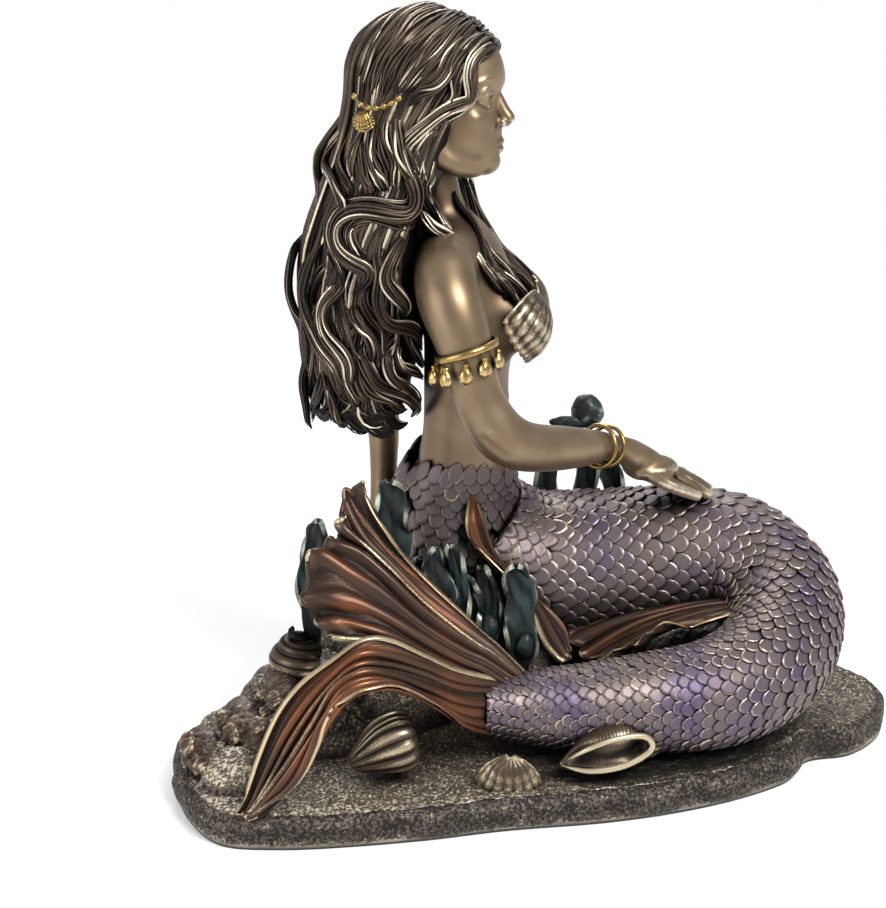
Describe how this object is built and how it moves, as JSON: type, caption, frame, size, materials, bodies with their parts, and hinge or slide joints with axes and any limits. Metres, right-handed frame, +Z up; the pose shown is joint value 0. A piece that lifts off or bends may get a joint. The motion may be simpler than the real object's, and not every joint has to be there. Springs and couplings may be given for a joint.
{
  "type": "mermaid figurine",
  "caption": "Cold-cast mermaid figurine seated on a rocky base, tail curled round to a pleated fin beside shells and kelp; stands on its flat underside.",
  "frame": {"origin": "middle of the bounding box at the flat underside of the base, on the surface it stands on", "axes": "+X the way the figure faces, +Y its left side, +Z up; the right side, which the picture shows, faces -Y"},
  "size_m": [0.1751, 0.097, 0.1793],
  "materials": {
    "cold_cast_bronze": "cold-cast resin with bronze powder, dark patina in the hollows and rubbed metallic ridges; violet scales, copper fins, verdigris kelp"
  },
  "bodies": {
    "root": {"mermaid_figurine": "cold_cast_bronze"}
  },
  "joints": []
}
